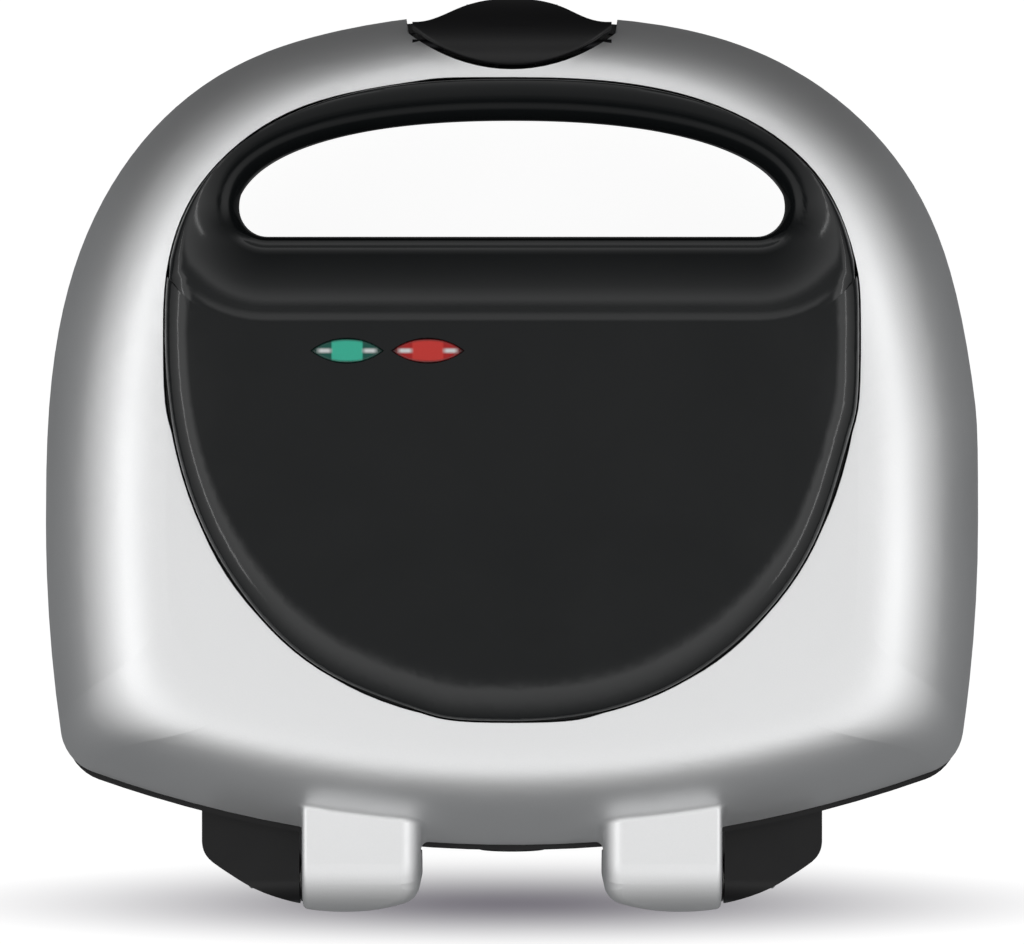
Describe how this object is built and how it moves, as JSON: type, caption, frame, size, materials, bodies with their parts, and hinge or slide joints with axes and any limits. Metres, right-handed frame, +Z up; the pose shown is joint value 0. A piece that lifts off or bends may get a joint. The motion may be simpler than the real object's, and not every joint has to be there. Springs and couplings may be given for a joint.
{
  "type": "sandwich toaster",
  "caption": "Clamshell breakfast sandwich maker with a pass-through carry handle, front latch, rear hinge, two lamps and cut-and-seal plates.",
  "frame": {"origin": "under the middle of the closed toaster, on the plane of its rubber feet", "axes": "+Z up in use, -Y towards the latch and carry handle, +Y towards the hinge, +X to the right of a person facing +Y"},
  "size_m": [0.25, 0.2421, 0.0902],
  "materials": {
    "black_gloss": "semi-gloss black moulding",
    "black_matte": "fine-grained black moulding",
    "element_steel": "grey steel sheath",
    "foot_rubber": "black rubber",
    "green_lens": "clear green acrylic",
    "lamp_glass": "neon lamp glass",
    "nonstick": "cast aluminium with a dark non-stick coat",
    "nylon_white": "natural nylon",
    "red_lens": "clear red acrylic",
    "silver_paint": "satin metallic silver paint over moulded plastic",
    "tray_steel": "aluminised sheet steel",
    "zinc_steel": "zinc-plated steel"
  },
  "bodies": {
    "base": {"base_shell": "black_matte", "base_deck": "black_matte", "lower_plate": "nonstick", "lower_heater": "element_steel", "lower_reflector": "tray_steel", "hinge_pins": "zinc_steel", "cord_gland": "black_matte", "terminal_block": "nylon_white", "rubber_feet": "foot_rubber", "lower_plate_screws": "zinc_steel", "lower_reflector_screws": "zinc_steel", "base_screws": "zinc_steel"},
    "lid": {"lid_cover": "silver_paint", "handle_panel": "black_gloss", "lid_liner": "black_matte", "upper_plate": "nonstick", "upper_heater": "element_steel", "upper_reflector": "tray_steel", "latch_pin": "zinc_steel", "latch_spring": "zinc_steel", "hinge_bushes": "nylon_white", "thermostat": "tray_steel", "lamp_holder": "nylon_white", "power_lens": "red_lens", "ready_lens": "green_lens", "power_lamp": "lamp_glass", "ready_lamp": "lamp_glass", "upper_plate_screws": "zinc_steel", "upper_reflector_screws": "zinc_steel", "lid_screws": "zinc_steel"},
    "latch": {"latch_lever": "black_gloss"}
  },
  "joints": [
    {"name": "lid_hinge", "type": "hinge", "parent": "base", "child": "lid", "pos_m": [0, 0.114, 0.032], "axis": [-1, 0, 0], "range_deg": [0, 100]},
    {"name": "latch_pivot", "type": "hinge", "parent": "lid", "child": "latch", "pos_m": [0, -0.1075, 0.079], "axis": [-1, 0, 0], "range_deg": [-4.5, 16], "stiffness_Nm_per_rad": 0.01, "springref_deg": -14.32}
  ]
}
